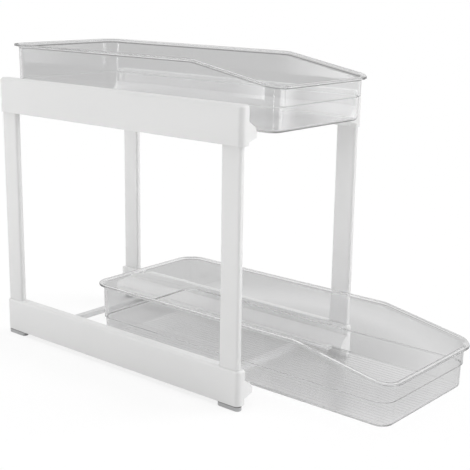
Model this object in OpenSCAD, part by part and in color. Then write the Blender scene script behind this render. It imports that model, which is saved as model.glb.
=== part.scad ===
// Two-tier under-cabinet organizer: white side rails, posts and crossbars on rubber
// feet, and two clear trays that slide out over the front on ledges inside the rails.
// X runs across the width, Y from front to back and Z up, with the floor at zero.

/* [Frame] */
// Length of the side rails, front to back
rail_len = 402; // [330:1:500]
// Overall width over the outer faces of the side rails
frame_w = 224; // [190:1:300]
// Height from the underside of the bottom rails to the top of the top rails
frame_h = 333; // [260:1:440]
// Thickness of a side rail
rail_t = 11.6; // [10.6:0.1:14]
// Height of a top rail
top_rail_h = 43.3; // [38:0.1:56]
// Height of a bottom rail
bottom_rail_h = 41.9; // [38:0.1:56]
// Radius of the upright outer corners of a rail
rail_corner_r = 6.5; // [4:0.1:9]
// Radius of the outer top edge of a rail
rail_edge_r = 4; // [2:0.1:4.5]
// Wall of the hollow under a rail
rail_wall = 2.6; // [1.8:0.1:3.6]
// Number of bays in the hollow under a rail
rail_bays = 5; // [3:1:8]
// Thickness of the ribs between those bays
bay_rib_t = 2.4; // [1.6:0.1:4]

/* [Guides and ledges] */
// Height of the tray ledge above the underside of a top rail
top_seat_h = 11.9; // [11.8:0.1:15]
// Height of the tray ledge above the underside of a bottom rail
bottom_seat_h = 15.4; // [12:0.1:19]
// How far the guide beside a tray stands out from the inner wall of a rail
guide_reach = 13.2; // [10:0.1:16]
// Rise of the guide above the ledge at the rail's wall
guide_rise = 13.6; // [10:0.1:16]
// Rise of the guide above the ledge at the bend of its top
guide_bend_rise = 7.4; // [4:0.1:9]
// Rise of the guide's inner face above the ledge
guide_face_rise = 1.2; // [0.2:0.1:3]
// Depth of the guide's inner face below the ledge
guide_drop = 4.5; // [3.8:0.1:6]
// Depth of the guide's root below the ledge
guide_root_drop = 8; // [6.4:0.1:10]
// How far the ledge reaches in under a tray from the guide
ledge_reach = 11; // [8:0.1:16]
// Thickness of the ledge
ledge_t = 3.4; // [2.4:0.1:3.5]
// Distance from the end of a rail to the end of its ledge
ledge_setback = 12; // [4:0.5:30]

/* [Posts] */
// Width of a post, front to back
post_w = 27; // [20:0.5:32]
// Distance from the outer face of a rail to the outer face of a post
post_inset = 1.8; // [1.4:0.1:2.6]
// Radius of the upright edges of a post
post_r = 3; // [1:0.1:3.4]
// Distance from the end of a rail to a post
post_end_gap = 3; // [2.5:0.1:10]
// Length of a post that plugs into a rail
post_plug = 24; // [12:0.5:28]

/* [Crossbars] */
// Distance from the end of a rail to the middle of a crossbar
crossbar_end_gap = 58; // [50:1:110]
// Width of a crossbar, front to back
crossbar_w = 9; // [7:0.1:14]
// Height of a crossbar
crossbar_h = 6.5; // [5:0.1:6.6]
// Wall of the channel under a crossbar
crossbar_wall = 2; // [1.4:0.1:2.6]
// Length of a crossbar that plugs into its socket
crossbar_plug = 9; // [5:0.1:10]
// Wall round the socket of a crossbar
socket_wall = 1.5; // [1.2:0.1:3]

/* [Trays] */
// How far the rim of a closed tray stands out in front of the rails
front_overhang = 28; // [10:0.5:50]
// How far the rim of a closed tray stands out behind the rails
rear_overhang = 7.3; // [0:0.1:25]
// How far the lower tray is pulled out
lower_tray_out = 151.7; // [0:0.1:170]
// Height of a tray at its back
tray_rear_h = 71.9; // [58:0.1:90]
// Height of a tray at its front
tray_front_h = 50.1; // [42:0.1:57]
// Length of the sloping part of the rim, from the front
rim_slope_len = 121.7; // [60:0.5:200]
// Thickness of a tray's walls
tray_wall = 2.2; // [1.6:0.1:3]
// Thickness of a tray's floor
tray_floor = 2.4; // [1.8:0.1:3.4]
// Radius of a tray's upright corners, outside under the rim
tray_corner_r = 18; // [12:0.5:30]
// Radius of the outer edge round the bottom of a tray
tray_edge_r = 1.8; // [1:0.1:4]
// Width of the rim flange beyond the wall
rim_reach = 5.8; // [3:0.1:8]
// Thickness of the rim flange
rim_t = 2.6; // [1.8:0.1:4]
// Height of the foot of the shoulder round a tray
shoulder_z = 25.4; // [16:0.1:30]
// Height of the shoulder itself
shoulder_h = 5; // [2:0.1:8]
// How far the wall steps out over the shoulder
shoulder_step = 1.7; // [0.8:0.1:2.6]
// How far the wall leans out from the bottom to the shoulder
lower_draft = 0.6; // [0.2:0.1:1.2]
// How far the wall leans out from the shoulder to the rim
upper_draft = 0.5; // [0.2:0.1:1.2]
// Distance between the fine ribs along a tray's floor
rib_pitch = 6.3; // [4:0.1:12]
// Width of a floor rib
rib_w = 1.6; // [0.8:0.1:2.6]
// Height of a floor rib
rib_h = 0.7; // [0.4:0.1:1.5]

/* [Feet] */
// Height of a rubber foot
foot_h = 6; // [3:0.1:12]
// Length of a foot, front to back
foot_len = 32; // [20:0.5:33]
// Distance from a rail's faces to a foot's sides
foot_inset = 1; // [0.4:0.1:2]
// Diameter of the plug that holds a foot in its rail
foot_plug_d = 5; // [3:0.1:6]
// Length of that plug
foot_plug_h = 5; // [3:0.1:8]

/* [Clearances] */
// Gap between pieces that plug into each other
fit_gap = 0.15; // [0.1:0.05:0.3]
// Gap under a tray where it slides on its ledges
slide_gap = 0.3; // [0.2:0.05:0.5]
// Gap between the side of a tray and its guides
side_play = 3.8; // [2.4:0.1:6]

/* [Hidden] */

$fn = 96;
// Overrun of every cut past the face it opens
cut = 1;
white_abs = [0.93, 0.93, 0.92];
clear_plastic = [0.80, 0.84, 0.86, 0.45];
grey_rubber = [0.42, 0.42, 0.43];

// Heights of the rails over the floor
bottom_rail_z = foot_h;
top_rail_z = foot_h + frame_h - top_rail_h;

// Where the bend of the guide's top lies, as a share of the guide's reach
guide_bend_share = 0.73;
guide_face = rail_t + guide_reach;

// Posts stand in the middle of the rails' thickness
post_t = rail_t - 2 * post_inset;
post_y = rail_len / 2 - post_end_gap - post_w / 2;
post_x = frame_w / 2 - rail_t / 2;
post_bottom_z = bottom_rail_z + bottom_rail_h - post_plug + fit_gap;
post_top_z = top_rail_z + post_plug - fit_gap;

// Crossbars lie straight under the ledges
crossbar_y = rail_len / 2 - crossbar_end_gap;
crossbar_len = frame_w - 2 * guide_face + 2 * (crossbar_plug - fit_gap);
crossbar_top_drop = ledge_t + fit_gap;

// Half sizes of a tray, worked out from the guides it runs between
tray_len = rail_len + front_overhang + rear_overhang;
tray_y = (rear_overhang - front_overhang) / 2;
lower_half_w = frame_w / 2 - guide_face - side_play;
wall_half_w = lower_half_w + shoulder_step + upper_draft;
wall_half_len = tray_len / 2 - rim_reach;
corner_x = wall_half_w - tray_corner_r;
corner_y = wall_half_len - tray_corner_r;
shoulder_top_r = tray_corner_r - upper_draft;
shoulder_foot_r = shoulder_top_r - shoulder_step;
bottom_r = shoulder_foot_r - lower_draft;
rim_r = tray_corner_r + rim_reach;
shoulder_top_z = shoulder_z + shoulder_h;
slope_start_y = rim_slope_len - tray_len / 2;
rim_slope = (tray_rear_h - tray_front_h) / rim_slope_len;
rim_front_y = -tray_len / 2 - cut;
rim_front_z = tray_front_h - cut * rim_slope;

// The origin is under the middle of the whole piece as it stands, tray pulled out
front_end_y = min(-rail_len / 2, tray_y - max(0, lower_tray_out) - tray_len / 2);
rear_end_y = max(rail_len / 2, tray_y + tray_len / 2);
origin_y = (front_end_y + rear_end_y) / 2;

foot_w = rail_t - 2 * foot_inset;

// Rails

// Upright section with its top corner rounded on the far side
module edge_section(reach, h) {
    intersection() {
        square([reach, h]);
        union() {
            square([reach, h - rail_edge_r]);
            square([reach - rail_edge_r, h]);
            translate([reach - rail_edge_r, h - rail_edge_r]) circle(rail_edge_r);
        }
    }
}

// The bar of a rail, outer face at x = 0 and inner wall at x = rail_t
module rail_bar(h) {
    straight = rail_len - 2 * rail_corner_r;
    translate([rail_t, 0, 0]) rotate([90, 0, 0]) linear_extrude(straight, center = true)
        mirror([1, 0]) edge_section(rail_t, h);
    for (end = [0, 1]) mirror([0, end, 0]) {
        translate([rail_corner_r, 0, 0]) rotate([90, 0, 90])
            linear_extrude(rail_t - rail_corner_r) edge_section(rail_len / 2, h);
        translate([rail_corner_r, straight / 2, 0]) rotate_extrude() edge_section(rail_corner_r, h);
    }
}

// Guide beside the tray, with the ledge that carries it
module guide_and_ledge(seat_h) {
    rotate([90, 0, 0]) linear_extrude(rail_len, center = true) polygon([
        [rail_t - rail_wall, seat_h - guide_root_drop],
        [rail_t, seat_h - guide_root_drop],
        [guide_face, seat_h - guide_drop],
        [guide_face, seat_h + guide_face_rise],
        [rail_t + guide_reach * guide_bend_share, seat_h + guide_bend_rise],
        [rail_t, seat_h + guide_rise],
        [rail_t - rail_wall, seat_h + guide_rise]]);
    ledge_len = rail_len - 2 * ledge_setback;
    translate([rail_t, -ledge_len / 2, seat_h - ledge_t])
        cube([guide_reach + ledge_reach, ledge_len, ledge_t]);
}

// Block round a crossbar's socket
module crossbar_boss(seat_h) {
    boss_w = crossbar_w + 2 * (fit_gap + socket_wall);
    boss_h = crossbar_h + 2 * fit_gap + socket_wall;
    translate([rail_t - rail_wall, -boss_w / 2, seat_h - ledge_t - boss_h])
        cube([guide_reach + rail_wall, boss_w, boss_h]);
}

module crossbar_socket(seat_h) {
    socket_w = crossbar_w + 2 * fit_gap;
    socket_h = crossbar_h + 2 * fit_gap;
    translate([guide_face - crossbar_plug, -socket_w / 2, seat_h - ledge_t - socket_h])
        cube([crossbar_plug + cut, socket_w, socket_h]);
}

// Outline of a post, grown by a clearance
module post_outline(gap) {
    r = post_r + gap;
    x = post_t / 2 - post_r;
    y = post_w / 2 - post_r;
    square([2 * (x + r), 2 * y], center = true);
    square([2 * x, 2 * (y + r)], center = true);
    for (sx = [-1, 1], sy = [-1, 1]) translate([sx * x, sy * y]) circle(r);
}

// Hollow moulded up into a rail from its underside, in bays
module rail_hollow(h) {
    hollow_len = 2 * (post_y - post_w / 2 - rail_wall);
    bay_len = (hollow_len - (rail_bays - 1) * bay_rib_t) / rail_bays;
    for (i = [0 : rail_bays - 1])
        translate([rail_wall, i * (bay_len + bay_rib_t) - hollow_len / 2, -cut])
            cube([rail_t - 2 * rail_wall, bay_len, h - rail_edge_r - rail_wall + cut]);
}

// Left rail with its underside at z = 0
module rail(h, seat_h, post_socket_z, post_socket_h) {
    difference() {
        union() {
            rail_bar(h);
            guide_and_ledge(seat_h);
            for (s = [-1, 1]) translate([0, s * crossbar_y, 0]) crossbar_boss(seat_h);
        }
        rail_hollow(h);
        for (s = [-1, 1]) {
            translate([0, s * crossbar_y, 0]) crossbar_socket(seat_h);
            translate([rail_t / 2, s * post_y, post_socket_z])
                linear_extrude(post_socket_h) post_outline(fit_gap);
        }
    }
}

module bottom_rail() {
    color(white_abs) difference() {
        rail(bottom_rail_h, bottom_seat_h, bottom_rail_h - post_plug, post_plug + cut);
        for (s = [-1, 1]) translate([rail_t / 2, s * post_y, -cut])
            cylinder(h = foot_plug_h + fit_gap + cut, d = foot_plug_d + 2 * fit_gap);
    }
}

module top_rail() {
    color(white_abs) rail(top_rail_h, top_seat_h, -cut, post_plug + cut);
}

// Posts, crossbars and feet

module post() {
    color(white_abs) translate([0, 0, post_bottom_z])
        linear_extrude(post_top_z - post_bottom_z) post_outline(0);
}

// Crossbar with its top at z = 0 and a channel along its underside
module crossbar() {
    color(white_abs) translate([0, 0, -crossbar_h]) difference() {
        translate([-crossbar_len / 2, -crossbar_w / 2, 0]) cube([crossbar_len, crossbar_w, crossbar_h]);
        translate([-crossbar_len / 2 - cut, crossbar_wall - crossbar_w / 2, -cut])
            cube([crossbar_len + 2 * cut, crossbar_w - 2 * crossbar_wall,
                crossbar_h - crossbar_wall + cut]);
    }
}

module foot() {
    straight = foot_len - foot_w;
    color(grey_rubber) {
        translate([-foot_w / 2, -straight / 2, 0]) cube([foot_w, straight, foot_h]);
        for (s = [-1, 1]) translate([0, s * straight / 2, 0]) cylinder(h = foot_h, d = foot_w);
        cylinder(h = foot_h + foot_plug_h, d = foot_plug_d);
    }
}

// Trays

// Tub with rounded corners: the child is its section, measured out from a corner's axis
module round_tub(floor_z, top_z) {
    for (sx = [0, 1], sy = [0, 1]) mirror([sx, 0, 0]) mirror([0, sy, 0])
        translate([corner_x, corner_y, 0]) rotate_extrude(angle = 90) children();
    tub_span(corner_x, 2 * corner_y, floor_z, top_z) children();
    rotate([0, 0, 90]) tub_span(corner_y, 2 * corner_x, floor_z, top_z) children();
}

module tub_span(half, length, floor_z, top_z) {
    rotate([90, 0, 0]) linear_extrude(length, center = true) {
        for (side = [0, 1]) mirror([side, 0]) translate([half, 0]) children();
        translate([-half, floor_z]) square([2 * half, top_z - floor_z]);
    }
}

module tray_outer_section() {
    polygon([
        [0, 0],
        [bottom_r - tray_edge_r, 0],
        [bottom_r, tray_edge_r],
        [shoulder_foot_r, shoulder_z],
        [shoulder_top_r, shoulder_top_z],
        [tray_corner_r, tray_rear_h],
        [0, tray_rear_h]]);
    translate([bottom_r - tray_edge_r, tray_edge_r]) circle(tray_edge_r);
}

module tray_inner_section() {
    inner_r = bottom_r - tray_wall;
    polygon([
        [0, tray_floor],
        [inner_r - tray_edge_r, tray_floor],
        [inner_r, tray_floor + tray_edge_r],
        [shoulder_foot_r - tray_wall, shoulder_z],
        [shoulder_top_r - tray_wall, shoulder_top_z],
        [tray_corner_r - tray_wall, tray_rear_h],
        [tray_corner_r - tray_wall, tray_rear_h + cut],
        [0, tray_rear_h + cut]]);
    translate([inner_r - tray_edge_r, tray_floor + tray_edge_r]) circle(tray_edge_r);
}

// Slab that follows the rim from the low front to the high back
module rim_slab(below, above) {
    rotate([90, 0, 90]) linear_extrude(2 * (wall_half_w + rim_reach + cut), center = true) polygon([
        [rim_front_y, rim_front_z - below],
        [slope_start_y, tray_rear_h - below],
        [tray_len / 2 + cut, tray_rear_h - below],
        [tray_len / 2 + cut, tray_rear_h + above],
        [slope_start_y, tray_rear_h + above],
        [rim_front_y, rim_front_z + above]]);
}

module floor_ribs() {
    rib_len = 2 * (corner_y + bottom_r - tray_wall - tray_edge_r);
    floor_half_w = corner_x + bottom_r - tray_wall - tray_edge_r;
    last = floor((floor_half_w - rib_w / 2) / rib_pitch);
    for (i = [-last : last])
        translate([i * rib_pitch - rib_w / 2, -rib_len / 2, tray_floor / 2])
            cube([rib_w, rib_len, tray_floor / 2 + rib_h]);
}

module tray() {
    color(clear_plastic) {
        difference() {
            union() {
                round_tub(0, tray_rear_h) tray_outer_section();
                intersection() {
                    round_tub(0, tray_rear_h) square([rim_r, tray_rear_h]);
                    rim_slab(rim_t, 0);
                }
            }
            round_tub(tray_floor, tray_rear_h + cut) tray_inner_section();
            rim_slab(0, tray_rear_h);
        }
        floor_ribs();
    }
}

// Places

module on_side(side) {
    mirror([side == "right" ? 1 : 0, 0, 0]) translate([-frame_w / 2, 0, 0]) children();
}

module at_post(side, end) {
    translate([side == "right" ? post_x : -post_x, end == "front" ? -post_y : post_y, 0]) children();
}

module at_crossbar(end, rail_z, seat_h) {
    translate([0, end == "front" ? -crossbar_y : crossbar_y, rail_z + seat_h - crossbar_top_drop])
        children();
}

module at_seat(out, rail_z, seat_h) {
    translate([0, tray_y - out, rail_z + seat_h + slide_gap]) children();
}

module stand() {
    translate([0, -origin_y, 0]) children();
}

stand() on_side("left") translate([0, 0, bottom_rail_z]) bottom_rail();  // bottom_left_rail
stand() on_side("right") translate([0, 0, bottom_rail_z]) bottom_rail();  // bottom_right_rail
stand() on_side("left") translate([0, 0, top_rail_z]) top_rail();  // top_left_rail
stand() on_side("right") translate([0, 0, top_rail_z]) top_rail();  // top_right_rail
stand() at_post("left", "front") post();  // front_left_post
stand() at_post("right", "front") post();  // front_right_post
stand() at_post("left", "rear") post();  // rear_left_post
stand() at_post("right", "rear") post();  // rear_right_post
stand() at_crossbar("front", bottom_rail_z, bottom_seat_h) crossbar();  // bottom_front_crossbar
stand() at_crossbar("rear", bottom_rail_z, bottom_seat_h) crossbar();  // bottom_rear_crossbar
stand() at_crossbar("front", top_rail_z, top_seat_h) crossbar();  // top_front_crossbar
stand() at_crossbar("rear", top_rail_z, top_seat_h) crossbar();  // top_rear_crossbar
stand() at_seat(lower_tray_out, bottom_rail_z, bottom_seat_h) tray();  // lower_tray
stand() at_seat(0, top_rail_z, top_seat_h) tray();  // upper_tray
stand() at_post("left", "front") foot();  // front_left_foot
stand() at_post("right", "front") foot();  // front_right_foot
stand() at_post("left", "rear") foot();  // rear_left_foot
stand() at_post("right", "rear") foot();  // rear_right_foot
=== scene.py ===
# Looks of the two-tier under-cabinet organizer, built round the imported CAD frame.
# Metres, X across, Y front to back, Z up. The trays pull out along -Y.
import math

import bmesh
import bpy
from mathutils import Matrix, Vector


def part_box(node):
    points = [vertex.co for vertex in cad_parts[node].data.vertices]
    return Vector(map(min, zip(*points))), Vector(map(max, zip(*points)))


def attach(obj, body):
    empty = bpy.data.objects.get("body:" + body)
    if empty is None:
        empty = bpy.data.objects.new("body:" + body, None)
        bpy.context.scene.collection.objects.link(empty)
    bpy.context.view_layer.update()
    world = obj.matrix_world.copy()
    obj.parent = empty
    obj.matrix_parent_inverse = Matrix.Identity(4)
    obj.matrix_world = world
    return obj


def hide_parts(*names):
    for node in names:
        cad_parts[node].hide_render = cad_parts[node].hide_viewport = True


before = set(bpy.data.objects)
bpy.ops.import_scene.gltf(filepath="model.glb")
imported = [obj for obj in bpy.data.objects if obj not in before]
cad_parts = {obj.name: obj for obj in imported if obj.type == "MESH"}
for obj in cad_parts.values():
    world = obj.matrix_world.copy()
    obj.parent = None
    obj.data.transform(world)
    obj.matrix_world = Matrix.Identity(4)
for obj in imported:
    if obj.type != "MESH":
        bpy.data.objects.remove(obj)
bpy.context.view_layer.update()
scene = bpy.context.scene
scene.view_settings.view_transform = "Standard"
scene.cycles.max_bounces = 96           # light runs a long way inside clear walls
scene.cycles.transmission_bounces = 96
scene.cycles.glossy_bounces = 96
scene.cycles.transparent_max_bounces = 32
print("frame loaded:", len(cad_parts), "nodes")

mm = 0.001


# small helpers

def newGroup(name, inputs, outputs):
    group = bpy.data.node_groups.new(name, "ShaderNodeTree")
    for label, kind, value in inputs:
        socket = group.interface.new_socket(label, in_out="INPUT", socket_type=kind)
        socket.default_value = value
    for label, kind in outputs:
        group.interface.new_socket(label, in_out="OUTPUT", socket_type=kind)
    start = group.nodes.new("NodeGroupInput")
    end = group.nodes.new("NodeGroupOutput")
    start.location, end.location = (-900, 0), (700, 0)
    return group, start, end


def addNode(tree, kind, place, **settings):
    node = tree.nodes.new(kind)
    node.location = place
    for key, value in settings.items():
        setattr(node, key, value)
    return node


def objectFrom(name, bm):
    # a finished bmesh becomes an object at the origin
    mesh = bpy.data.meshes.new(name)
    bm.to_mesh(mesh)
    bm.free()
    piece = bpy.data.objects.new(name, mesh)
    scene.collection.objects.link(piece)
    return piece


# materials: one shared moulded skin, four finishes

def buildMouldedSkin():
    # the faint pebble and slow waviness of a moulded surface, with a patchy gloss
    settings = {"grainDetail": 3.0, "waveDetail": 2.0, "patchScale": 38.0, "patchDetail": 5.0,
                "grainShare": 0.35, "patchLow": 0.3, "patchHigh": 0.7}
    inputs = [
        ("Place", "NodeSocketVector", (0, 0, 0)),
        ("Grain Scale", "NodeSocketFloat", 900.0),
        ("Wave Scale", "NodeSocketFloat", 14.0),
        ("Gloss Low", "NodeSocketFloat", 0.3),
        ("Gloss High", "NodeSocketFloat", 0.4),
    ]
    outputs = [
        ("Height", "NodeSocketFloat"),
        ("Roughness", "NodeSocketFloat"),
        ("Patch", "NodeSocketFloat"),
    ]
    group, start, end = newGroup("mouldedSkin", inputs, outputs)
    links = group.links
    grain = addNode(group, "ShaderNodeTexNoise", (-600, 200))
    grain.inputs["Detail"].default_value = settings["grainDetail"]
    wave = addNode(group, "ShaderNodeTexNoise", (-600, -100))
    wave.inputs["Detail"].default_value = settings["waveDetail"]
    patch = addNode(group, "ShaderNodeTexNoise", (-600, -400))
    patch.inputs["Scale"].default_value = settings["patchScale"]
    patch.inputs["Detail"].default_value = settings["patchDetail"]
    for node, label in ((grain, "Grain Scale"), (wave, "Wave Scale")):
        links.new(start.outputs[label], node.inputs["Scale"])
    for node in (grain, wave, patch):
        links.new(start.outputs["Place"], node.inputs["Vector"])
    blend = addNode(group, "ShaderNodeMix", (-250, 100), data_type="FLOAT")
    blend.inputs[0].default_value = settings["grainShare"]
    links.new(wave.outputs["Fac"], blend.inputs[2])
    links.new(grain.outputs["Fac"], blend.inputs[3])
    links.new(blend.outputs[0], end.inputs["Height"])
    gloss = addNode(group, "ShaderNodeMapRange", (-250, -250))
    gloss.inputs["From Min"].default_value = settings["patchLow"]
    gloss.inputs["From Max"].default_value = settings["patchHigh"]
    links.new(patch.outputs["Fac"], gloss.inputs["Value"])
    links.new(start.outputs["Gloss Low"], gloss.inputs["To Min"])
    links.new(start.outputs["Gloss High"], gloss.inputs["To Max"])
    links.new(gloss.outputs["Result"], end.inputs["Roughness"])
    links.new(patch.outputs["Fac"], end.inputs["Patch"])
    return group


mouldedSkin = buildMouldedSkin()
patchShade = 0.985      # tone of the darker patches of a moulded surface


def newMaterial(name, finish):
    # one plastic or rubber: the shared skin drives its roughness, bump and faint patches
    material = bpy.data.materials.new(name)
    material.use_nodes = True
    tree = material.node_tree
    shader = tree.nodes["Principled BSDF"]
    shader.location = (300, 0)
    tree.nodes["Material Output"].location = (650, 0)
    for label, value in finish["shader"].items():
        shader.inputs[label].default_value = value
    place = addNode(tree, "ShaderNodeTexCoord", (-900, 0))
    group = addNode(tree, "ShaderNodeGroup", (-650, 0), node_tree=mouldedSkin)
    for label, value in finish["skin"].items():
        group.inputs[label].default_value = value
    tree.links.new(place.outputs["Object"], group.inputs["Place"])
    tree.links.new(group.outputs["Roughness"], shader.inputs["Roughness"])
    relief = addNode(tree, "ShaderNodeBump", (0, -300))
    relief.inputs["Strength"].default_value = finish["bumpStrength"]
    relief.inputs["Distance"].default_value = finish["bumpDepth"]
    tree.links.new(group.outputs["Height"], relief.inputs["Height"])
    tree.links.new(relief.outputs["Normal"], shader.inputs["Normal"])
    colour = finish["colour"]
    tint = addNode(tree, "ShaderNodeMix", (0, 200), data_type="RGBA")
    tint.inputs[6].default_value = (*[c * patchShade for c in colour], 1)
    tint.inputs[7].default_value = (*colour, 1)
    tree.links.new(group.outputs["Patch"], tint.inputs[0])
    tree.links.new(tint.outputs[2], shader.inputs["Base Color"])
    return material


def letLightThrough(material, tint):
    # a clear wall dims the light on what lies behind it and casts no hard shadow
    tree = material.node_tree
    path = addNode(tree, "ShaderNodeLightPath", (300, 500))
    passes = addNode(tree, "ShaderNodeMath", (500, 500), operation="MAXIMUM")
    tree.links.new(path.outputs["Is Shadow Ray"], passes.inputs[0])
    tree.links.new(path.outputs["Is Diffuse Ray"], passes.inputs[1])
    see = addNode(tree, "ShaderNodeBsdfTransparent", (500, 250))
    see.inputs["Color"].default_value = (*tint, 1)
    mix = addNode(tree, "ShaderNodeMixShader", (700, 150))
    output = tree.nodes["Material Output"]
    output.location = (900, 150)
    tree.links.new(passes.outputs[0], mix.inputs[0])
    tree.links.new(tree.nodes["Principled BSDF"].outputs[0], mix.inputs[1])
    tree.links.new(see.outputs[0], mix.inputs[2])
    tree.links.new(mix.outputs[0], output.inputs["Surface"])


def paintShadeAlongTop(material, line):
    # painted shade: a dark line along the top of a foot, where the gap under its rail lies in
    # shadow
    tree = material.node_tree
    shader = tree.nodes["Principled BSDF"]
    plain = shader.inputs["Base Color"].links[0].from_socket
    place = addNode(tree, "ShaderNodeTexCoord", (-400, 500))
    parts = addNode(tree, "ShaderNodeSeparateXYZ", (-200, 500))
    tree.links.new(place.outputs["Object"], parts.inputs[0])
    rise = addNode(tree, "ShaderNodeMapRange", (0, 500))
    rise.inputs["From Min"].default_value = line["fromHeight"]
    rise.inputs["From Max"].default_value = line["toHeight"]
    tree.links.new(parts.outputs["Z"], rise.inputs["Value"])
    mix = addNode(tree, "ShaderNodeMix", (200, 350), data_type="RGBA")
    mix.inputs[7].default_value = (*line["colour"], 1)
    tree.links.new(rise.outputs["Result"], mix.inputs[0])
    tree.links.new(plain, mix.inputs[6])
    tree.links.new(mix.outputs[2], shader.inputs["Base Color"])


satinSkin = {"Grain Scale": 1100.0, "Wave Scale": 16.0, "Gloss Low": 0.36, "Gloss High": 0.46}
clearSkin = {"Grain Scale": 300.0, "Wave Scale": 9.0, "Gloss Low": 0.03, "Gloss High": 0.06}
rubberSkin = {"Grain Scale": 1500.0, "Wave Scale": 60.0, "Gloss Low": 0.6, "Gloss High": 0.75}
finishes = {
    "whitePlastic": {
        "colour": (0.76, 0.76, 0.757), "skin": satinSkin,
        "bumpStrength": 0.25, "bumpDepth": 0.15 * mm,
        "shader": {"IOR": 1.5, "Specular IOR Level": 0.35}},
    # the white plastic again, painted darker as shade for the crossbars that lie low under the
    # trays
    "barPlasticPaintedShade": {
        "colour": (0.62, 0.62, 0.62), "skin": satinSkin,
        "bumpStrength": 0.25, "bumpDepth": 0.15 * mm,
        "shader": {"IOR": 1.5, "Specular IOR Level": 0.35}},
    "clearPlastic": {
        "colour": (0.978, 0.978, 0.98), "skin": clearSkin,
        "bumpStrength": 0.03, "bumpDepth": 0.1 * mm,
        "shader": {"IOR": 1.49, "Transmission Weight": 1.0}},
    "greyRubber": {
        "colour": (0.46, 0.46, 0.465), "skin": rubberSkin,
        "bumpStrength": 0.4, "bumpDepth": 0.2 * mm,
        "shader": {"IOR": 1.5, "Specular IOR Level": 0.3}},
}
clearTint = (0.982, 0.982, 0.984)       # what a clear wall leaves of the light behind it
# painted shade along the top of each foot, for the shadowed gap under its rail
footJointShade = {"fromHeight": 4.2 * mm, "toHeight": 5.4 * mm, "colour": (0.06, 0.06, 0.06)}

materials = {name: newMaterial(name, finish) for name, finish in finishes.items()}
letLightThrough(materials["clearPlastic"], clearTint)
# the feet get their painted shade line
paintShadeAlongTop(materials["greyRubber"], footJointShade)
print("materials made")


# white frame and feet: CAD shapes with their moulded edges rounded

softEdges = {
    "rail": {"width": 0.45 * mm, "segments": 3, "material": "whitePlastic", "slot": "white_frame"},
    "post": {"width": 0.3 * mm, "segments": 2, "material": "whitePlastic", "slot": "white_frame"},
    # crossbars take the copy of the white plastic with painted shade
    "crossbar": {"width": 0.5 * mm, "segments": 3, "material": "barPlasticPaintedShade", "slot": "white_frame"},
    "foot": {"width": 0.8 * mm, "segments": 3, "material": "greyRubber", "slot": "grey_rubber"},
}
# what counts as one point, as one flat face and as an edge to round; angles in degrees
softCleaning = {"mergeWithin": 0.004 * mm, "flatWithin": 0.6, "edgeFrom": 28}


def softCopy(nodeName, settings):
    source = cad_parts[nodeName]
    bm = bmesh.new()
    bm.from_mesh(source.data)
    bmesh.ops.remove_doubles(bm, verts=bm.verts, dist=softCleaning["mergeWithin"])
    bmesh.ops.dissolve_limit(bm, angle_limit=math.radians(softCleaning["flatWithin"]),
                             verts=bm.verts, edges=bm.edges)
    for face in bm.faces:
        face.smooth = True
    piece = objectFrom(nodeName + "_soft", bm)
    piece.data.materials.append(materials[settings["material"]])
    bevel = piece.modifiers.new("roundedEdges", "BEVEL")
    bevel.width = settings["width"]
    bevel.segments = settings["segments"]
    bevel.limit_method = "ANGLE"
    bevel.angle_limit = math.radians(softCleaning["edgeFrom"])
    bevel.harden_normals = True
    bevel.use_clamp_overlap = True
    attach(piece, "frame")
    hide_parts(nodeName)


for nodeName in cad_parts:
    family = nodeName.split("_")[-1]
    if family in softEdges:
        softCopy(nodeName, softEdges[family])
print("frame pieces rounded")


# clear trays, both from one set of sizes in millimetres

traySizes = {
    "length": 437.3, "wallHalfWidth": 85.6, "cornerRadius": 18.0, "cornerSteps": 14,
    "wall": 2.2, "floor": 2.4, "bottomEdge": 4.0,
    "rimReach": 5.8, "rimThickness": 2.6, "rimFillet": 3.2, "rimTip": 0.9, "rimInside": 5.5,
    "rearHeight": 71.9, "frontHeight": 50.1, "slopeLength": 121.7, "slopeEase": 5.0,
    "shoulderFoot": 27.2, "shoulderHeight": 0.9, "shoulderStep": 1.7, "shoulderEase": 0.15,
    "lowerDraft": 0.6, "upperDraft": 0.5,
    "ribPitch": 6.3, "ribWidth": 3.6, "ribHeight": 0.14,
    "ribRun": 1.5,          # a rib rises over this length at either end
    "ribGap": 1.2,          # bare floor past its ends
    "creaseFrom": 40,       # degrees past which an edge stays sharp
}
# how many steps each rounded part of the wall's section has
sectionSteps = {"bottomEdge": 9, "shoulder": 4, "rimFillet": 5, "rimTip": 4, "rimInside": 7}
# a rib's section: across in halves of its width, up in shares of its height
ribProfile = [(-1, 0), (-0.72, 0.45), (-0.3, 0.93), (0.3, 0.93), (0.72, 0.45), (1, 0)]


def arcPoints(centre, radius, fromDegrees, toDegrees, steps):
    # points of an arc in the wall's section, the angle counted from outwards towards up
    points = []
    for i in range(steps + 1):
        angle = math.radians(fromDegrees + (toDegrees - fromDegrees) * i / steps)
        points.append((centre[0] + radius * math.cos(angle), centre[1] + radius * math.sin(angle)))
    return points


def easedCorner(before, corner, after, reach, steps):
    # a soft bend in place of a sharp one in the wall's section
    a, c, b = Vector(before), Vector(corner), Vector(after)
    p0 = c + (a - c).normalized() * reach
    p2 = c + (b - c).normalized() * reach
    points = []
    for i in range(steps + 1):
        t = i / steps
        p = p0 * (1 - t) ** 2 + c * 2 * t * (1 - t) + p2 * t ** 2
        points.append((p.x, p.y))
    return points


def rimHeight(y):
    # level at the back, a straight fall to the front and a short ease between them
    s = traySizes
    slope = (s["rearHeight"] - s["frontHeight"]) / s["slopeLength"]
    slopeStart = s["slopeLength"] - s["length"] / 2
    t = (slopeStart - y) / s["slopeEase"]
    if t >= 1:
        return s["rearHeight"] - slope * (slopeStart - y)
    if t <= -1:
        return s["rearHeight"]
    return s["rearHeight"] - slope * s["slopeEase"] * (t + 1) ** 2 / 4


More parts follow.
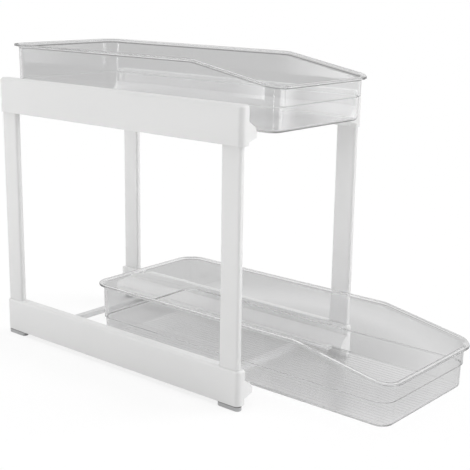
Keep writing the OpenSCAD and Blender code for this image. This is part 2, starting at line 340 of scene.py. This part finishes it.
def traySection():
    # the shell from its outer bottom round the rim to its inner floor, as radius from the
    # corner's axis, height, and whether that height is a drop below the rim
    s, steps = traySizes, sectionSteps
    radius = s["cornerRadius"]
    shoulderTop = s["shoulderFoot"] + s["shoulderHeight"]
    topRadius = radius - s["upperDraft"]
    footRadius = topRadius - s["shoulderStep"]
    bottomRadius = footRadius - s["lowerDraft"]

    def wallSection(inset, floorHeight, edge):
        bottom = (bottomRadius - inset, floorHeight)
        foot = (footRadius - inset, s["shoulderFoot"])
        top = (topRadius - inset, shoulderTop)
        upper = (radius - inset, s["rearHeight"])
        points = arcPoints((bottom[0] - edge, bottom[1] + edge), edge, -90, 0, steps["bottomEdge"])
        points += easedCorner(bottom, foot, top, s["shoulderEase"], steps["shoulder"])
        points += easedCorner(foot, top, upper, s["shoulderEase"], steps["shoulder"])
        return points

    outer = wallSection(0, 0, s["bottomEdge"])
    inner = wallSection(s["wall"], s["floor"], s["bottomEdge"] - s["wall"])
    tip = radius + s["rimReach"]
    thick = s["rimThickness"]
    inside = radius - s["wall"]
    down = 9                    # only a direction: down the wall from the rim
    rim = easedCorner((radius, thick + down), (radius, thick), (tip, thick),
                      s["rimFillet"], steps["rimFillet"])
    rim += easedCorner((radius, thick), (tip, thick), (tip, 0), s["rimTip"], steps["rimTip"])
    rim += easedCorner((tip, thick), (tip, 0), (inside, 0), s["rimTip"], steps["rimTip"])
    rim += easedCorner((tip, 0), (inside, 0), (inside, down), s["rimInside"], steps["rimInside"])
    section = [(r, z, False) for r, z in outer] + [(r, drop, True) for r, drop in rim]
    section += [(r, z, False) for r, z in reversed(inner)]
    return section


def placeRingPoint(v, r, height, followsRim):
    # moves a point of the ring to radius r from the corner's axis
    s = traySizes
    cornerX = s["wallHalfWidth"] - s["cornerRadius"]
    cornerY = s["length"] / 2 - s["rimReach"] - s["cornerRadius"]
    shoulderTop = s["shoulderFoot"] + s["shoulderHeight"]
    underFlange = s["rimThickness"] + 0.5
    straight = 1e-6             # no further past the corner's axis than this is a straight wall
    x, y = v.co.x, v.co.y
    beyondX, beyondY = abs(x) - cornerX, abs(y) - cornerY
    signX, signY = math.copysign(1, x), math.copysign(1, y)
    if beyondY <= straight:
        x = signX * (cornerX + r)
    elif beyondX <= straight:
        y = signY * (cornerY + r)
    else:
        away = Vector((beyondX, beyondY)).normalized()
        x = signX * (cornerX + away.x * r)
        y = signY * (cornerY + away.y * r)
    if followsRim:
        level = rimHeight(y)
        if height > underFlange and beyondY <= straight:
            # just under the flange the side wall is still on its draft
            rise = (level - shoulderTop) / (s["rearHeight"] - shoulderTop)
            x -= signX * s["upperDraft"] * (1 - rise)
        v.co = (x, y, level - height)
    else:
        v.co = (x, y, height)


def growShell(bm):
    # a flat rounded outline whose border is drawn out ring by ring along the section
    s = traySizes
    section = traySection()
    cornerX = s["wallHalfWidth"] - s["cornerRadius"]
    cornerY = s["length"] / 2 - s["rimReach"] - s["cornerRadius"]
    slopeStart = s["slopeLength"] - s["length"] / 2
    bmesh.ops.create_grid(bm, x_segments=1, y_segments=1, size=1)
    startRadius = section[0][0]
    for v in bm.verts:
        v.co.x *= cornerX + startRadius
        v.co.y *= cornerY + startRadius
    bmesh.ops.bevel(bm, geom=list(bm.verts), offset=startRadius, offset_type="OFFSET",
                    affect="VERTICES", segments=s["cornerSteps"], profile=0.5, material=-1)
    # points along each side: seven where the rim starts to fall and two further back
    marks = [slopeStart + s["slopeEase"] * (k / 3 - 1) for k in range(7)]
    marks += [slopeStart + 60, slopeStart + 160]
    longEdges = [e for e in bm.edges if abs(e.verts[0].co.y - e.verts[1].co.y) > cornerY]
    divided = bmesh.ops.subdivide_edges(bm, edges=longEdges, cuts=len(marks))
    for side in (-1, 1):
        row = [v for v in divided["geom_inner"]
               if isinstance(v, bmesh.types.BMVert) and v.co.x * side > 0]
        for v, y in zip(sorted(row, key=lambda v: v.co.y), marks):
            v.co.y = y
    bmesh.ops.reverse_faces(bm, faces=list(bm.faces))
    ring = [e for e in bm.edges if e.is_boundary]
    for r, height, followsRim in section[1:]:
        grown = bmesh.ops.extrude_edge_only(bm, edges=ring)["geom"]
        ring = [g for g in grown if isinstance(g, bmesh.types.BMEdge)]
        for v in {v for e in ring for v in e.verts}:
            placeRingPoint(v, r, height, followsRim)
    bmesh.ops.contextual_create(bm, geom=ring)
    bmesh.ops.recalc_face_normals(bm, faces=list(bm.faces))


def raiseRibs(bm):
    # fine ribs along the inner floor, each a low rounded ridge
    s = traySizes
    innerEdge = s["bottomEdge"] - s["wall"]
    bottomRadius = s["cornerRadius"] - s["upperDraft"] - s["shoulderStep"] - s["lowerDraft"]
    cornerX = s["wallHalfWidth"] - s["cornerRadius"]
    cornerY = s["length"] / 2 - s["rimReach"] - s["cornerRadius"]
    ribEnd = cornerY + bottomRadius - s["wall"] - innerEdge - s["ribGap"]
    halfFloor = cornerX + bottomRadius - s["wall"] - innerEdge
    halfRib = s["ribWidth"] / 2
    last = math.floor((halfFloor - halfRib) / s["ribPitch"])
    raisedWithin = ribEnd - 1   # between the two cuts at either end of the ribs
    onFloor, sameSpot, cutWithin = 1e-4, 0.02, 1e-5

    def floorParts():
        faces = [f for f in bm.faces
                 if all(abs(v.co.z - s["floor"]) < onFloor for v in f.verts)]
        edges = list({e for f in faces for e in f.edges})
        return faces + edges + list({v for f in faces for v in f.verts})

    def cutFloor(spot, normal):
        bmesh.ops.bisect_plane(bm, geom=floorParts(), dist=cutWithin,
                               plane_co=spot, plane_no=normal)

    for y in (-ribEnd, -ribEnd + s["ribRun"], ribEnd - s["ribRun"], ribEnd):
        cutFloor((0, y, 0), (0, 1, 0))
    for i in range(-last, last + 1):
        for across, up in ribProfile:
            cutFloor((i * s["ribPitch"] + across * halfRib, 0, 0), (1, 0, 0))
    floorVerts = {v for f in bm.faces for v in f.verts if abs(v.co.z - s["floor"]) < onFloor}
    for v in floorVerts:
        column = round(v.co.x / s["ribPitch"])
        across = (v.co.x - column * s["ribPitch"]) / halfRib
        if abs(column) <= last and abs(v.co.y) < raisedWithin:
            up = max((h for a, h in ribProfile if abs(a - across) < sameSpot), default=0)
            v.co.z += up * s["ribHeight"]


def buildTray(name, nodeName, body):
    bm = bmesh.new()
    growShell(bm)
    raiseRibs(bm)
    # to real size and place: the tray's node says where it stands
    low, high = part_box(nodeName)
    bmesh.ops.scale(bm, vec=(mm, mm, mm), verts=list(bm.verts))
    bmesh.ops.translate(bm, vec=(0, (low[1] + high[1]) / 2, low[2]), verts=list(bm.verts))
    for f in bm.faces:
        f.smooth = True
    crease = math.radians(traySizes["creaseFrom"])
    for e in bm.edges:
        if len(e.link_faces) == 2 and e.calc_face_angle(0) > crease:
            e.smooth = False
    tray = objectFrom(name, bm)
    tray.data.materials.append(materials["clearPlastic"])
    even = tray.modifiers.new("evenNormals", "WEIGHTED_NORMAL")
    even.weight = 100
    even.keep_sharp = True
    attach(tray, body)
    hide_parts(nodeName)
    print(name, "built,", len(tray.data.polygons), "faces")


buildTray("lowerTray", "lower_tray", "lower_tray_body")
buildTray("upperTray", "upper_tray", "upper_tray_body")


# floor, light and camera

# Plain white to the eye. Glass and gloss see a studio: a pale grey table with a painted glowing
# panel, brighter than white, at the front right and another at the rear left, a dim line at the
# horizon, a white sheet above it and a dimmer ceiling.
# table: tones all round, from the left by way of the front, right and back to the left again; tones
# above 1 are the painted glowing panels
# near: tones close to the object, by distance in metres; the low ones under and round it are a
# painted shadow
# height: tones above the table, by the sine of the angle above the horizon
# deepTone: what rays see that were bent or mirrored more than deepFrom times
studio = {
    "white": 1.0, "asLight": 0.5,
    "table": (
        (0.0, 0.5), (0.04, 0.35), (0.12, 0.3), (0.24, 0.4),
        (0.272, 3.1), (0.355, 3.1), (0.37, 0.85), (0.391, 0.9),
        (0.396, 1.8), (0.404, 1.8), (0.412, 0.85), (0.50, 0.85),
        (0.56, 0.53), (0.66, 0.53), (0.75, 0.85), (0.80, 0.6),
        (0.861, 0.6), (0.886, 0.85), (0.895, 0.85),
        (0.906, 4.2), (0.94, 4.2), (0.955, 0.6), (1.0, 0.5)),
    "near": (
        (0.0, 0.49), (0.09, 0.50), (0.14, 0.51), (0.19, 0.57), (0.235, 0.635),
        (0.27, 0.71), (0.30, 0.67), (0.34, 0.59), (0.37, 0.57)),
    "height": ((0.0, 0.25), (0.14, 0.25), (0.21, 0.95), (0.50, 0.95), (0.70, 0.58), (1.0, 0.50)),
    "deepFrom": 7.5, "deepTone": 0.5,
}


def addRamp(tree, place, source, stops):
    # a curve of plain values over 0 to 1; all places are set before the first tone
    ramp = addNode(tree, "ShaderNodeValToRGB", place)
    elements = ramp.color_ramp.elements
    while len(elements) < len(stops):
        elements.new(0.5)
    for element, (at, tone) in zip(elements, stops):
        element.position = at
    for element, (at, tone) in zip(elements, stops):
        element.color = (tone, tone, tone, 1)
    tree.links.new(source, ramp.inputs[0])
    return ramp.outputs["Color"]


def tableTone(tree, where):
    # how pale the table is in each direction from the object
    parts = addNode(tree, "ShaderNodeSeparateXYZ", (-1500, 0))
    tree.links.new(where, parts.inputs[0])
    turn = addNode(tree, "ShaderNodeMath", (-1300, 0), operation="ARCTAN2")
    tree.links.new(parts.outputs["Y"], turn.inputs[0])
    tree.links.new(parts.outputs["X"], turn.inputs[1])
    share = addNode(tree, "ShaderNodeMapRange", (-1100, 0))
    share.inputs["From Min"].default_value = -math.pi
    share.inputs["From Max"].default_value = math.pi
    tree.links.new(turn.outputs[0], share.inputs["Value"])
    return addRamp(tree, (-900, 0), share.outputs["Result"], studio["table"])


def bentRays(tree):
    # the rays that have been bent or mirrored, and those with the ones straight from the eye
    path = addNode(tree, "ShaderNodeLightPath", (-1100, 500))
    bent = addNode(tree, "ShaderNodeMath", (-900, 500), operation="MAXIMUM")
    seen = addNode(tree, "ShaderNodeMath", (-700, 500), operation="MAXIMUM")
    tree.links.new(path.outputs["Is Transmission Ray"], bent.inputs[0])
    tree.links.new(path.outputs["Is Glossy Ray"], bent.inputs[1])
    tree.links.new(bent.outputs[0], seen.inputs[0])
    tree.links.new(path.outputs["Is Camera Ray"], seen.inputs[1])
    return bent.outputs[0], seen.outputs[0]


def blendValues(tree, place, switch, low, high):
    # from one value to another by a switch between 0 and 1; each is a number or a socket
    node = addNode(tree, "ShaderNodeMix", place, data_type="FLOAT")
    for socket, value in ((node.inputs[2], low), (node.inputs[3], high)):
        if isinstance(value, (int, float)):
            socket.default_value = value
        else:
            tree.links.new(value, socket)
    tree.links.new(switch, node.inputs[0])
    return node.outputs[0]


def evenedOut(tree, place, tone):
    # light that has run a long way inside the clear plastic comes out as one even tone
    path = addNode(tree, "ShaderNodeLightPath", (place[0] - 400, place[1]))
    deep = addNode(tree, "ShaderNodeMath", (place[0] - 200, place[1]), operation="GREATER_THAN")
    tree.links.new(path.outputs["Ray Depth"], deep.inputs[0])
    deep.inputs[1].default_value = studio["deepFrom"]
    return blendValues(tree, place, deep.outputs[0], tone, studio["deepTone"])


def buildStage():
    # a white floor that keeps a share of the object's shadow, more of it through the plastic
    settings = {"size": 80.0, "white": 0.93, "roughness": 0.9, "gloss": 0.0,
                "lift": 0.8, "liftThroughPlastic": 0.6, "nearReach": 0.5, "farReach": 1.3}
    bm = bmesh.new()
    bmesh.ops.create_grid(bm, x_segments=1, y_segments=1, size=settings["size"] / 2)
    floor = objectFrom("floor", bm)
    material = bpy.data.materials.new("paleFloor")
    material.use_nodes = True
    tree = material.node_tree
    shader = tree.nodes["Principled BSDF"]
    shader.inputs["Roughness"].default_value = settings["roughness"]
    shader.inputs["Specular IOR Level"].default_value = settings["gloss"]
    bent, seen = bentRays(tree)
    where = addNode(tree, "ShaderNodeTexCoord", (-1900, -200)).outputs["Object"]
    away = addNode(tree, "ShaderNodeVectorMath", (-1100, -300), operation="LENGTH")
    tree.links.new(where, away.inputs[0])
    reach = addNode(tree, "ShaderNodeMapRange", (-900, -300))
    reach.inputs["From Min"].default_value = settings["nearReach"]
    reach.inputs["From Max"].default_value = settings["farReach"]
    tree.links.new(away.outputs["Value"], reach.inputs["Value"])
    # painted shadow: through the plastic the table is darker under and round the object
    near = addRamp(tree, (-900, -600), away.outputs["Value"], studio["near"])
    grey = blendValues(tree, (-650, -100), reach.outputs["Result"], near, tableTone(tree, where))
    grey = evenedOut(tree, (-450, -100), grey)
    colour = blendValues(tree, (-250, 0), bent, settings["white"], grey)
    tree.links.new(colour, shader.inputs["Base Color"])
    glow = addNode(tree, "ShaderNodeEmission", (0, -350))
    # for bent rays the floor glows at the table's tones, so the painted panels shine in reflections
    shine = blendValues(tree, (-250, -350), bent, studio["white"], grey)
    tree.links.new(shine, glow.inputs["Strength"])
    lift = blendValues(tree, (-50, 500), bent, settings["lift"], settings["liftThroughPlastic"])
    share = addNode(tree, "ShaderNodeMath", (150, 300), operation="MULTIPLY")
    tree.links.new(seen, share.inputs[0])
    tree.links.new(lift, share.inputs[1])
    mix = addNode(tree, "ShaderNodeMixShader", (400, 100))
    tree.links.new(share.outputs[0], mix.inputs[0])
    tree.links.new(shader.outputs[0], mix.inputs[1])
    tree.links.new(glow.outputs[0], mix.inputs[2])
    tree.links.new(mix.outputs[0], tree.nodes["Material Output"].inputs["Surface"])
    floor.data.materials.append(material)


def buildWorld():
    # white where it is seen, softer as a light
    world = bpy.data.worlds.new("studio")
    scene.world = world
    world.use_nodes = True
    tree = world.node_tree
    background = tree.nodes["Background"]
    background.inputs["Color"].default_value = (1, 1, 1, 1)
    bent, seen = bentRays(tree)
    direction = addNode(tree, "ShaderNodeTexCoord", (-1900, 0)).outputs["Generated"]
    parts = addNode(tree, "ShaderNodeSeparateXYZ", (-1100, -300))
    tree.links.new(direction, parts.inputs[0])
    above = addRamp(tree, (-900, -300), parts.outputs["Z"], studio["height"])
    above = evenedOut(tree, (-450, -300), above)
    shown = blendValues(tree, (-250, 0), bent, studio["white"], above)
    strength = blendValues(tree, (-100, 100), seen, studio["asLight"], shown)
    tree.links.new(strength, background.inputs["Strength"])


# towards is where a far light stands, as seen from the object
lamps = {
    "leftLight": {"towards": (-0.60, 0.69, 0.40), "strength": 0.38, "softness": 35},
    "rearSoftBox": {"place": (-0.83, 1.11, 0.22), "target": (-0.11, 0.28, 0.12),
                    "size": 0.4, "power": 2.4},
    "frontLight": {"towards": (0.69, -0.60, 0.40), "strength": 1.55, "softness": 35},
    "topLight": {"towards": (-0.1, -0.1, 0.99), "strength": 1.05, "softness": 50},
    "frontCard": {"place": (0.196, -0.335, 0.30), "target": (-0.055, -0.137, 0.33),
                  "size": (0.034, 0.12), "brightness": 5.0, "spread": 40,
                  "fade": ((0.3, 1), (1, 0))},
    "cornerCard": {"place": (-0.90, -0.98, 0.21), "target": (-0.0676, -0.119, 0.345),
                   "size": (0.08, 0.40), "brightness": 8.0, "spread": 60,
                   "fade": ((0, 1), (1, 1))},
}


def hangLamp(name, lamp, place, aim, unseenBy):
    # aim is the way that it shines; unseenBy are the kinds of ray that pass it by
    holder = bpy.data.objects.new(name, lamp)
    scene.collection.objects.link(holder)
    holder.location = place
    holder.rotation_euler = aim.to_track_quat("-Z", "Y").to_euler()
    for kind in unseenBy:
        setattr(holder, "visible_" + kind, False)


def farLight(name):
    # an even light from one side, its edge of shadow softened by its apparent size in degrees
    settings = lamps[name]
    lamp = bpy.data.lights.new(name, "SUN")
    lamp.energy = settings["strength"]
    lamp.angle = math.radians(settings["softness"])
    towards = Vector(settings["towards"])
    hangLamp(name, lamp, towards * 3, -towards, ("glossy", "transmission"))


def softBox(name):
    # a broad lamp near the object, so that its light falls off along the rails
    settings = lamps[name]
    lamp = bpy.data.lights.new(name, "AREA")
    lamp.size = settings["size"]
    lamp.energy = settings["power"]
    place = Vector(settings["place"])
    aim = Vector(settings["target"]) - place
    hangLamp(name, lamp, place, aim, ("camera", "glossy", "transmission"))


def glossCard(name):
    # a bounce card that only shows as a reflection, seen within its spread in degrees;
    # its brightness goes from one end of the card to the other by the values in fade
    settings = lamps[name]
    width, height = settings["size"]
    half = math.radians(settings["spread"]) / 2
    lamp = bpy.data.lights.new(name, "AREA")
    lamp.shape = "RECTANGLE"
    lamp.size, lamp.size_y = width, height
    lamp.energy = settings["brightness"] * math.pi * width * height * (1 - half / math.tan(half))
    lamp.spread = 2 * half
    lamp.use_nodes = True
    tree = lamp.node_tree
    across = addNode(tree, "ShaderNodeNewGeometry", (-700, 0))
    parts = addNode(tree, "ShaderNodeSeparateXYZ", (-500, 0))
    tree.links.new(across.outputs["Parametric"], parts.inputs[0])
    tone = addRamp(tree, (-300, 0), parts.outputs["X"], settings["fade"])
    tree.links.new(tone, tree.nodes["Emission"].inputs["Strength"])
    place = Vector(settings["place"])
    aim = Vector(settings["target"]) - place
    hangLamp(name, lamp, place, aim, ("camera", "diffuse", "transmission"))


def buildCamera():
    # solved from the photo's parallel edges; angles in degrees, yaw from +Y towards +X
    settings = {"place": (-0.93127, -0.79357, 0.46822), "yaw": 50.05, "pitch": -14.03,
                "roll": 0.87, "lens": 79.61, "sensorWidth": 36}
    yaw, pitch, roll = (math.radians(settings[k]) for k in ("yaw", "pitch", "roll"))
    level = math.cos(pitch)
    ahead = Vector((math.sin(yaw) * level, math.cos(yaw) * level, math.sin(pitch)))
    right = Vector((math.cos(yaw), -math.sin(yaw), 0))
    up = right.cross(ahead)
    tiltedRight = right * math.cos(roll) + up * math.sin(roll)
    tiltedUp = up * math.cos(roll) - right * math.sin(roll)
    lens = bpy.data.cameras.new("camera")
    lens.lens = settings["lens"]
    lens.sensor_width = settings["sensorWidth"]
    camera = bpy.data.objects.new("camera", lens)
    scene.collection.objects.link(camera)
    turn = Matrix((tiltedRight, tiltedUp, -ahead)).transposed().to_4x4()
    camera.matrix_world = Matrix.Translation(settings["place"]) @ turn
    scene.camera = camera


buildStage()
buildWorld()
farLight("leftLight")
softBox("rearSoftBox")
farLight("frontLight")
farLight("topLight")
glossCard("frontCard")
glossCard("cornerCard")
buildCamera()
print("stage, light and camera set")
